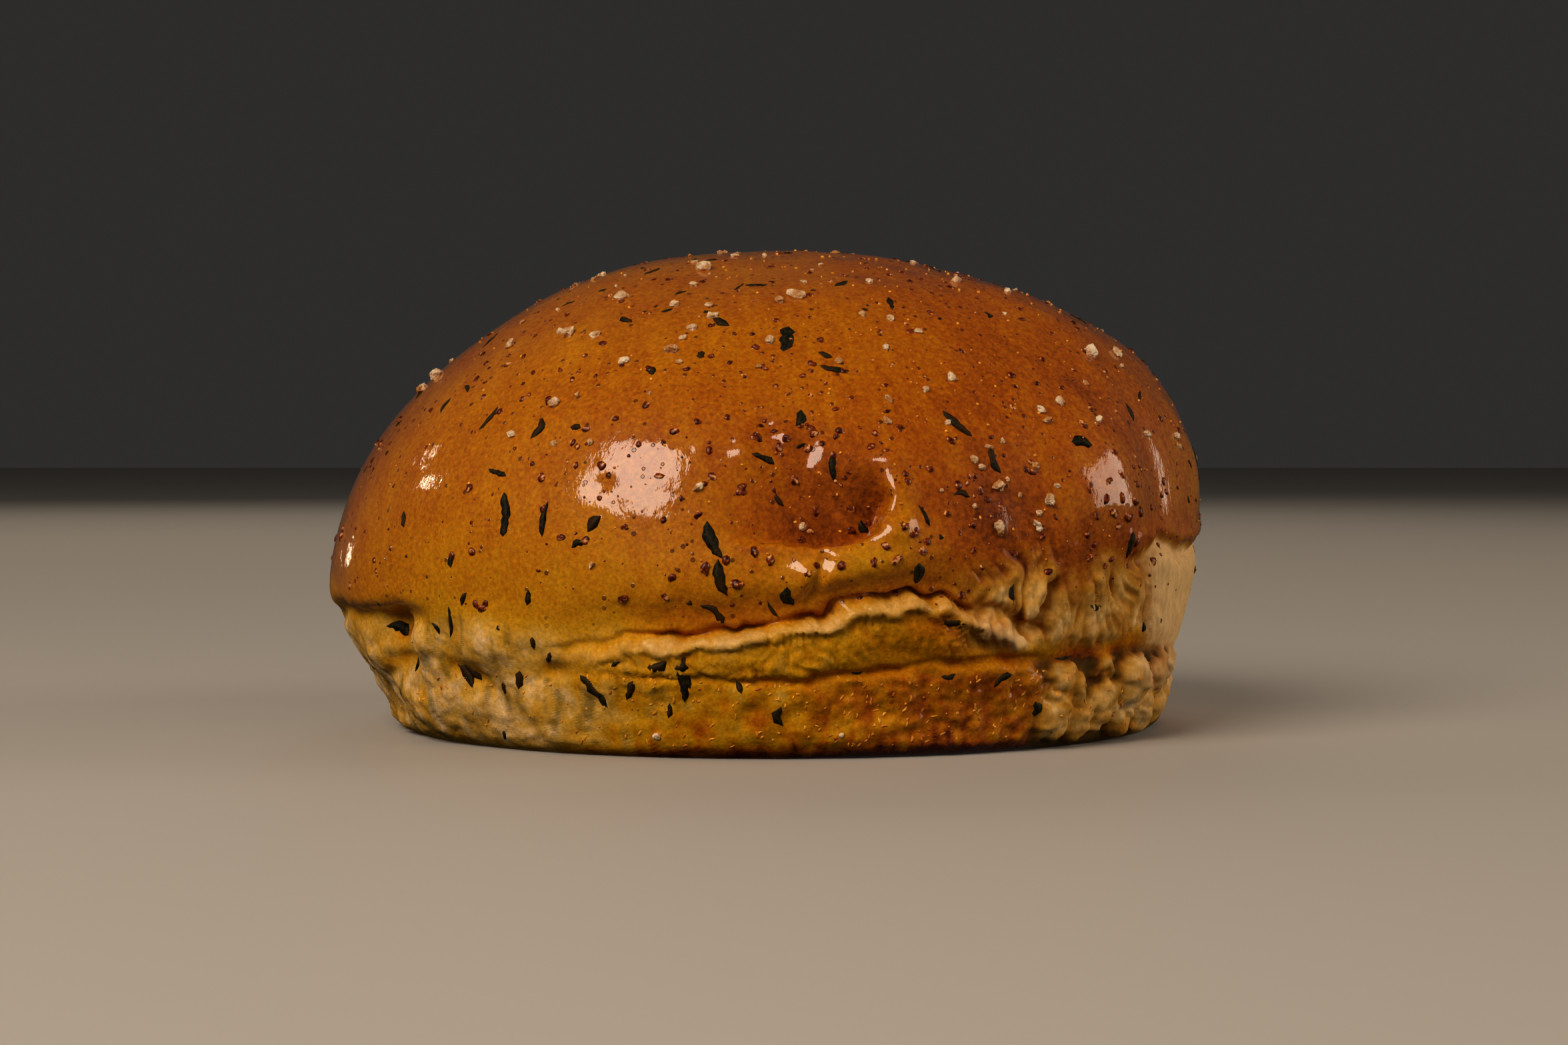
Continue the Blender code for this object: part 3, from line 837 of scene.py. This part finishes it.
def addNugget(bm, point, normal, size, flat, sunk, uneven, level=2):
    # one rounded, uneven lump, sunk part way into the crust
    turn = normal.to_track_quat("Z", "Y").to_matrix().to_4x4()
    turn = turn @ Matrix.Rotation(dice.uniform(0, 6.28), 4, "Z")
    stretch = dice.uniform(0.8, 1.25)
    scale = Matrix.Diagonal((size * stretch * mm, size / stretch * mm, size * flat * mm, 1))
    centre = point + normal * size * flat * (1 - 2 * sunk) * mm
    made = bmesh.ops.create_icosphere(bm, subdivisions=level, radius=1)["verts"]
    swing = [Vector((dice.gauss(0, 1), dice.gauss(0, 1), dice.gauss(0, 1))) for k in range(4)]
    for vert in made:
        wave = sum(math.sin(2.4 * vert.co.dot(axis) + k) for k, axis in enumerate(swing)) / 3
        vert.co = Matrix.Translation(centre) @ turn @ scale @ (vert.co * (1 + uneven * wave))


def finishPiece(name, bm, material):
    bmesh.ops.recalc_face_normals(bm, faces=bm.faces)
    mesh = bpy.data.meshes.new(name)
    bm.to_mesh(mesh)
    bm.free()
    for face in mesh.polygons:
        face.use_smooth = True
    mesh.materials.append(material)
    piece = newObject(name, mesh)
    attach(piece, "root")
    return piece


# Dried green herb, crumbled leaf baked under the wash: near black-green, paler on veins and broken
# edges, with a dull wax shine where the egg reached it.
driedHerb = dict(leaf="#120f06", edge="#3a3415", sunk="#3a2608", roughness=0.6, ior=1.4, specular=0.25,
                 veinSize=0.5, flakeSpacing=5)


def driedHerbLeaf():
    c = driedHerb
    material, tree = newMaterial("driedHerbLeaf")
    place = addNode(tree, "ShaderNodeTexCoord")
    veins = addNode(tree, "ShaderNodeTexNoise",
                    {"Scale": perMetre(c["veinSize"]), "Detail": 3.0, "Roughness": 0.65},
                    {"Vector": place.outputs["Object"]})
    ramp = addNode(tree, "ShaderNodeValToRGB", links={"Fac": veins.outputs["Fac"]})
    setStops(ramp, [(0.42, c["leaf"]), (0.72, c["edge"])])
    # some flakes lie under the wash and look browner
    depth = addNode(tree, "ShaderNodeTexNoise", {"Scale": perMetre(c["flakeSpacing"]), "Detail": 0.0},
                    {"Vector": place.outputs["Object"]})
    under = addNode(tree, "ShaderNodeMapRange", {"From Min": 0.5, "From Max": 0.62, "To Max": 0.8},
                    {"Value": depth.outputs["Fac"]})
    color = addNode(tree, "ShaderNodeMix", {7: linearColor(c["sunk"])},
                    {0: under.outputs["Result"], 6: ramp.outputs["Color"]}, data_type="RGBA")
    bump = addNode(tree, "ShaderNodeBump", {"Strength": 0.7, "Distance": 0.2 * mm},
                   {"Height": veins.outputs["Fac"]})
    shader = addNode(tree, "ShaderNodeBsdfPrincipled", {"Roughness": c["roughness"], "IOR": c["ior"],
                     "Specular IOR Level": c["specular"]},
                     {"Base Color": color.outputs[2], "Normal": bump.outputs["Normal"]})
    addNode(tree, "ShaderNodeOutputMaterial", links={"Surface": shader.outputs["BSDF"]})
    return material


bm = bmesh.new()
for angle, height, length, width, tilt in herb["placed"]:
    addFlake(bm, *spotOn(angle, height), length, width * herb["slim"], tilt, herb["thick"])
for i in range(herb["scattered"]):
    point, normal = randomSpot()
    amongPlaced = abs(math.atan2(point.x, -point.y)) < 0.9 and point.z < 50 * mm
    if amongPlaced and dice.random() < 0.6:
        continue
    size = dice.random() ** 1.7
    length = herb["length"][0] + (herb["length"][1] - herb["length"][0]) * size
    addFlake(bm, point, normal, length, min(dice.uniform(*herb["width"]) * herb["slim"], length),
             dice.uniform(-90, 90), herb["thick"] * dice.uniform(0.3, 1))
finishPiece("herbFlakes", bm, driedHerbLeaf())

# Coarse salt and crushed garlic granules: pale, matt, a little translucent, browned where they sank.
# placed ones are (degrees from the front, height, size in mm)
granule = dict(
    placed=((-31, 39.7, 0.85), (-23, 35.4, 0.5), (18, 40.2, 0.65), (17, 37.8, 0.6), (24, 41.3, 0.55),
            (5, 26.1, 0.55), (-21, 21.8, 0.5), (-8, 30.3, 0.7), (38, 28.7, 0.85), (28, 33.5, 0.6),
            (30, 25.7, 0.95), (41, 39.1, 0.75), (41, 37.9, 0.65), (45, 40.0, 0.8), (33, 35.5, 0.4),
            (36, 26.2, 0.6), (37, 32.7, 0.6), (-22, 44.6, 0.8), (-15, 45.8, 0.95), (1, 47.0, 0.8),
            (7, 52.2, 1.1), (3, 51.8, 0.8), (-10, 49.9, 0.8), (-13, 48.4, 0.7), (-21, 56.1, 1.2),
            (-34, 52.6, 1.1), (-19, 51.3, 0.8), (-37, 48.0, 0.9), (-51, 46.8, 0.9), (12, 44.5, 0.7),
            (24, 49.7, 0.6), (19, 50.1, 0.6), (-73, 43.4, 1.1), (-77, 41.8, 1.0), (29, 42.7, 0.8),
            (59, 46.0, 1.1), (69, 46.1, 1.0), (-14, 2.6, 0.55), (10, 2.8, 0.35), (31, 30.4, 0.9),
            (29, 32.6, 0.55), (36.4, 27.4, 0.5), (36.2, 25.6, 0.5), (34, 29.4, 0.4), (32.5, 31.2, 0.4),
            (39.5, 30.4, 0.45), (27, 28.2, 0.45)),
    scattered=190, size=(0.18, 0.6), pale="#ead3b0", toasted="#bb8344", roughness=0.45, ior=1.5, soft=0.15,
    crystalSize=0.35, toneSize=1.6,
)


def crackedGranule():
    c = granule
    material, tree = newMaterial("crackedGranule")
    place = addNode(tree, "ShaderNodeTexCoord")
    facets = addNode(tree, "ShaderNodeTexNoise", {"Scale": perMetre(c["toneSize"]), "Detail": 2.0},
                     {"Vector": place.outputs["Object"]})
    ramp = addNode(tree, "ShaderNodeValToRGB", links={"Fac": facets.outputs["Fac"]})
    setStops(ramp, [(0.38, c["toasted"]), (0.62, c["pale"])])
    crystals = addNode(tree, "ShaderNodeTexVoronoi", {"Scale": perMetre(c["crystalSize"])},
                       {"Vector": place.outputs["Object"]})
    bump = addNode(tree, "ShaderNodeBump", {"Strength": 0.8, "Distance": 0.2 * mm},
                   {"Height": crystals.outputs["Distance"]})
    shader = addNode(tree, "ShaderNodeBsdfPrincipled", {"Roughness": c["roughness"], "IOR": c["ior"],
                     "Subsurface Weight": c["soft"], "Subsurface Scale": 0.4 * mm},
                     {"Base Color": ramp.outputs["Color"], "Normal": bump.outputs["Normal"]})
    addNode(tree, "ShaderNodeOutputMaterial", links={"Surface": shader.outputs["BSDF"]})
    return material


bm = bmesh.new()
for angle, height, size in granule["placed"]:
    addNugget(bm, *spotOn(angle, height), size * 0.72, dice.uniform(0.6, 0.85), 0.3, 0.5)
for i in range(granule["scattered"]):
    point, normal = randomSpot()
    if point.z < 30 * mm and dice.random() < 0.85:      # most stayed on the top
        continue
    addNugget(bm, point, normal, dice.uniform(*granule["size"]), dice.uniform(0.5, 0.8), 0.35, 0.5, level=1)
granules = finishPiece("paleGranules", bm, crackedGranule())
for face in granules.data.polygons:      # broken crystals keep their facets
    face.use_smooth = False

# Semolina: hard wheat grit from the tray, toasted amber; flecks on the sides, fine grit on the dome.
# The bright amber of flecks and grit is partly a painted glint, put where the crust sparkles.
semolina = dict(
    count=320, length=(0.2, 0.9), width=(0.10, 0.30), lean=(28, 38), thick=0.13, height=(1.5, 9.5),
    onDomeAsGlints=1500, grit=(0.07, 0.22), thickestAt=28,          # degrees from the front
    # the light stop is partly a painted glint
    dark="#b8640c", light="#ffb638", toneSize=2.0, roughness=0.25, ior=1.45,
)


def semolinaWithPaintedGlints():
    c = semolina
    material, tree = newMaterial("semolinaWithPaintedGlints")
    place = addNode(tree, "ShaderNodeTexCoord")
    tone = addNode(tree, "ShaderNodeTexNoise", {"Scale": perMetre(c["toneSize"]), "Detail": 1.0},
                   {"Vector": place.outputs["Object"]})
    ramp = addNode(tree, "ShaderNodeValToRGB", links={"Fac": tone.outputs["Fac"]})
    setStops(ramp, [(0.35, c["dark"]), (0.65, c["light"])])
    shader = addNode(tree, "ShaderNodeBsdfPrincipled", {"Roughness": c["roughness"], "IOR": c["ior"]},
                     {"Base Color": ramp.outputs["Color"]})
    addNode(tree, "ShaderNodeOutputMaterial", links={"Surface": shader.outputs["BSDF"]})
    return material


bm = bmesh.new()
for i in range(semolina["count"]):
    flakeAngle = dice.uniform(-180, 180) if i % 2 else dice.gauss(8, 22)      # every other one at the front
    point, normal = spotOn(flakeAngle, dice.uniform(*semolina["height"]))
    addFlake(bm, point, normal, dice.uniform(*semolina["length"]), dice.uniform(*semolina["width"]),
             dice.gauss(*semolina["lean"]), semolina["thick"])
for i in range(semolina["onDomeAsGlints"]):
    point, normal = randomSpot()
    near = math.exp(-((angleOfSpot(point) - semolina["thickestAt"]) / 45) ** 2)
    if point.z < 22 * mm or dice.random() > 0.12 + 0.88 * near:
        continue
    addNugget(bm, point, normal, dice.uniform(*semolina["grit"]), 0.8, 0.45, 0.3, level=1)
finishPiece("semolinaFlecksAndGlints", bm, semolinaWithPaintedGlints())

# Blisters in the egg wash: beads of scorched glaze, glassy and dark red-brown, some with a pale burst cap;
# the pale cap is partly a painted glint.
# placed ones are (degrees from the front, height, size in mm)
blister = dict(
    placed=((4, 31.2, 0.75), (-7, 21.5, 0.95), (-17, 18.1, 0.85), (-3, 19.7, 0.8), (16, 22.5, 0.95),
            (17, 26.1, 0.8), (13, 22.2, 0.7), (-10, 29.2, 0.5), (-13, 31.6, 0.6), (-12, 26.9, 0.55),
            (-8, 27.4, 0.7), (-17, 26.0, 0.6), (-10, 21.3, 0.5), (-13, 35.4, 0.55), (-16, 35.1, 0.5),
            (-37, 16.7, 0.9), (3, 35.8, 0.7), (1.5, 36.6, 0.6), (5, 37.2, 0.5), (18, 25.2, 0.7),
            (20, 24.4, 0.6), (14.5, 24.0, 0.6), (-1, 23.4, 0.8), (46.5, 29.0, 0.75), (48, 27.2, 0.9),
            (49.5, 28.8, 0.75), (51, 26.6, 0.95), (52.5, 28.4, 0.75), (47.5, 31.0, 0.6),
            (50, 31.6, 0.65), (53.5, 30.4, 0.6), (45, 27.0, 0.6), (54, 27.0, 0.75), (49, 25.6, 0.6),
            (44, 30.0, 0.55), (25, 30.6, 0.7), (23, 27.4, 0.65), (26.5, 26.2, 0.6), (21.5, 32.4, 0.6),
            (29, 29.0, 0.55)),
    scattered=1500, size=(0.10, 0.52), dark="#3c0f04", light="#86360c", capAndGlint="#e2a765", toneSize=0.55,
    roughness=0.3, ior=1.45, specular=0.35,
)


def scorchedGlaze():
    c = blister
    material, tree = newMaterial("scorchedGlaze")
    place = addNode(tree, "ShaderNodeTexCoord")
    tone = addNode(tree, "ShaderNodeTexNoise", {"Scale": perMetre(c["toneSize"]), "Detail": 1.0},
                   {"Vector": place.outputs["Object"]})
    ramp = addNode(tree, "ShaderNodeValToRGB", links={"Fac": tone.outputs["Fac"]})
    # the palest stop is partly a painted glint
    setStops(ramp, [(0.36, c["dark"]), (0.58, c["light"]), (0.70, c["capAndGlint"])])
    shader = addNode(tree, "ShaderNodeBsdfPrincipled", {"Roughness": c["roughness"], "IOR": c["ior"],
                     "Specular IOR Level": c["specular"]}, {"Base Color": ramp.outputs["Color"]})
    addNode(tree, "ShaderNodeOutputMaterial", links={"Surface": shader.outputs["BSDF"]})
    return material


bm = bmesh.new()
for angle, height, size in blister["placed"]:
    addNugget(bm, *spotOn(angle, height), size * 0.6, 0.6, 0.45, 0.7)
made = 0
while made < blister["scattered"]:
    point, normal = randomSpot()
    angle, height = angleOfSpot(point), point.z / mm
    swing = math.sin(point.x * 900 + 2 * math.sin(point.z * 700))
    clusters = 0.5 + 0.5 * swing * math.sin(point.z * 800 + 1.3)
    onRight = math.exp(-((angle - 25) / 42) ** 2) * math.exp(-((height - 32) / 13) ** 2)
    onPuckers = math.exp(-((angle - 2) / 6) ** 2 - ((height - 36) / 3.5) ** 2)
    want = 0.10 + 0.75 * clusters ** 2 * onRight + 0.5 * onPuckers
    if point.z < 17 * mm or dice.random() > want:
        continue
    size = blister["size"][0] + (blister["size"][1] - blister["size"][0]) * dice.random() ** 2.2
    addNugget(bm, point, normal, size, 0.5, 0.55, 0.35, level=1 if size < 0.3 else 2)
    made += 1
finishPiece("washBlisters", bm, scorchedGlaze())
print("toppings scattered")


def areaLight(name, direction, distance, width, height, watts, color, shape):
    data = bpy.data.lights.new(name, "AREA")
    data.shape = shape
    data.size, data.size_y, data.energy = width, height, watts
    data.color = linearColor(color)[:3]
    lamp = newObject(name, data)
    target = Vector((0, 0, 0.03))
    lamp.location = target + Vector(direction).normalized() * distance
    lamp.rotation_euler = (target - lamp.location).to_track_quat("-Z", "Y").to_euler()
    return lamp


# soft boxes and small lamps: (direction from the bun, distance, width, height in m, watts, colour, shape)
lights = dict(
    keySoftbox=((-0.44, -0.66, 0.55), 0.95, 0.68, 0.54, 8.4, "#fff0e0", "ELLIPSE"),
    broadFill=((0.62, -0.66, 0.34), 1.3, 1.3, 1.0, 3.6, "#fff2e2", "RECTANGLE"),
    windowRight=((0.97, 0.06, 0.24), 1.0, 0.56, 0.60, 4.2, "#ffeedd", "RECTANGLE"),
    lampLeft=((-0.92, 0.29, 0.41), 1.0, 0.022, 0.085, 0.30, "#ffe2c4", "RECTANGLE"),
    lampLeftHigh=((-0.84, 0.43, 0.48), 1.0, 0.016, 0.055, 0.08, "#ffe2c4", "RECTANGLE"),
    lampLeftLow=((-0.66, 0.75, 0.05), 1.0, 0.03, 0.08, 0.12, "#ffe2c4", "RECTANGLE"),
    topBack=((0.12, 0.78, 0.62), 1.1, 0.6, 0.3, 0.5, "#ffeedd", "RECTANGLE"),
    backFill=((-0.25, 0.80, 0.50), 1.2, 1.0, 0.5, 2.6, "#fff2e2", "RECTANGLE"),
)
unseenInGloss = ("broadFill", "topBack", "backFill")     # lift the shadows without a second sheen

for name, setting in lights.items():
    areaLight(name, *setting).visible_glossy = name not in unseenInGloss

studio = dict(floorColor="#b9b3aa", floorRoughness=0.6, floorHalf=3, airColor="#8c8a88", airStrength=0.16,
              lens=72.7, sensor=36, eye=(0.0023, -0.400, 0.0363), lookDown=1.6, gamma=0.86)

bm = bmesh.new()
bmesh.ops.create_grid(bm, x_segments=1, y_segments=1, size=studio["floorHalf"])
floorMesh = bpy.data.meshes.new("floor")
bm.to_mesh(floorMesh)
bm.free()
floor = newObject("floor", floorMesh)
material, tree = newMaterial("paleFloor")
shader = addNode(tree, "ShaderNodeBsdfPrincipled",
                 {"Base Color": linearColor(studio["floorColor"]), "Roughness": studio["floorRoughness"]})
addNode(tree, "ShaderNodeOutputMaterial", links={"Surface": shader.outputs[0]})
floorMesh.materials.append(material)
floor.visible_glossy = False         # the crust neither mirrors the floor nor takes its bounce
floor.visible_diffuse = False

world = bpy.data.worlds.new("studio")
world.use_nodes = True
air = world.node_tree.nodes["Background"]
air.inputs["Color"].default_value = linearColor(studio["airColor"])
air.inputs["Strength"].default_value = studio["airStrength"]
bpy.context.scene.world = world

cameraData = bpy.data.cameras.new("camera")
cameraData.sensor_width = studio["sensor"]
cameraData.lens = studio["lens"]
camera = newObject("camera", cameraData)
camera.location = studio["eye"]
camera.rotation_euler = (math.radians(90 - studio["lookDown"]), 0, 0)
bpy.context.scene.camera = camera
bpy.context.scene.view_settings.view_transform = "Standard"
bpy.context.scene.view_settings.gamma = studio["gamma"]
print("lights, floor and camera set")

bpy.context.view_layer.update()
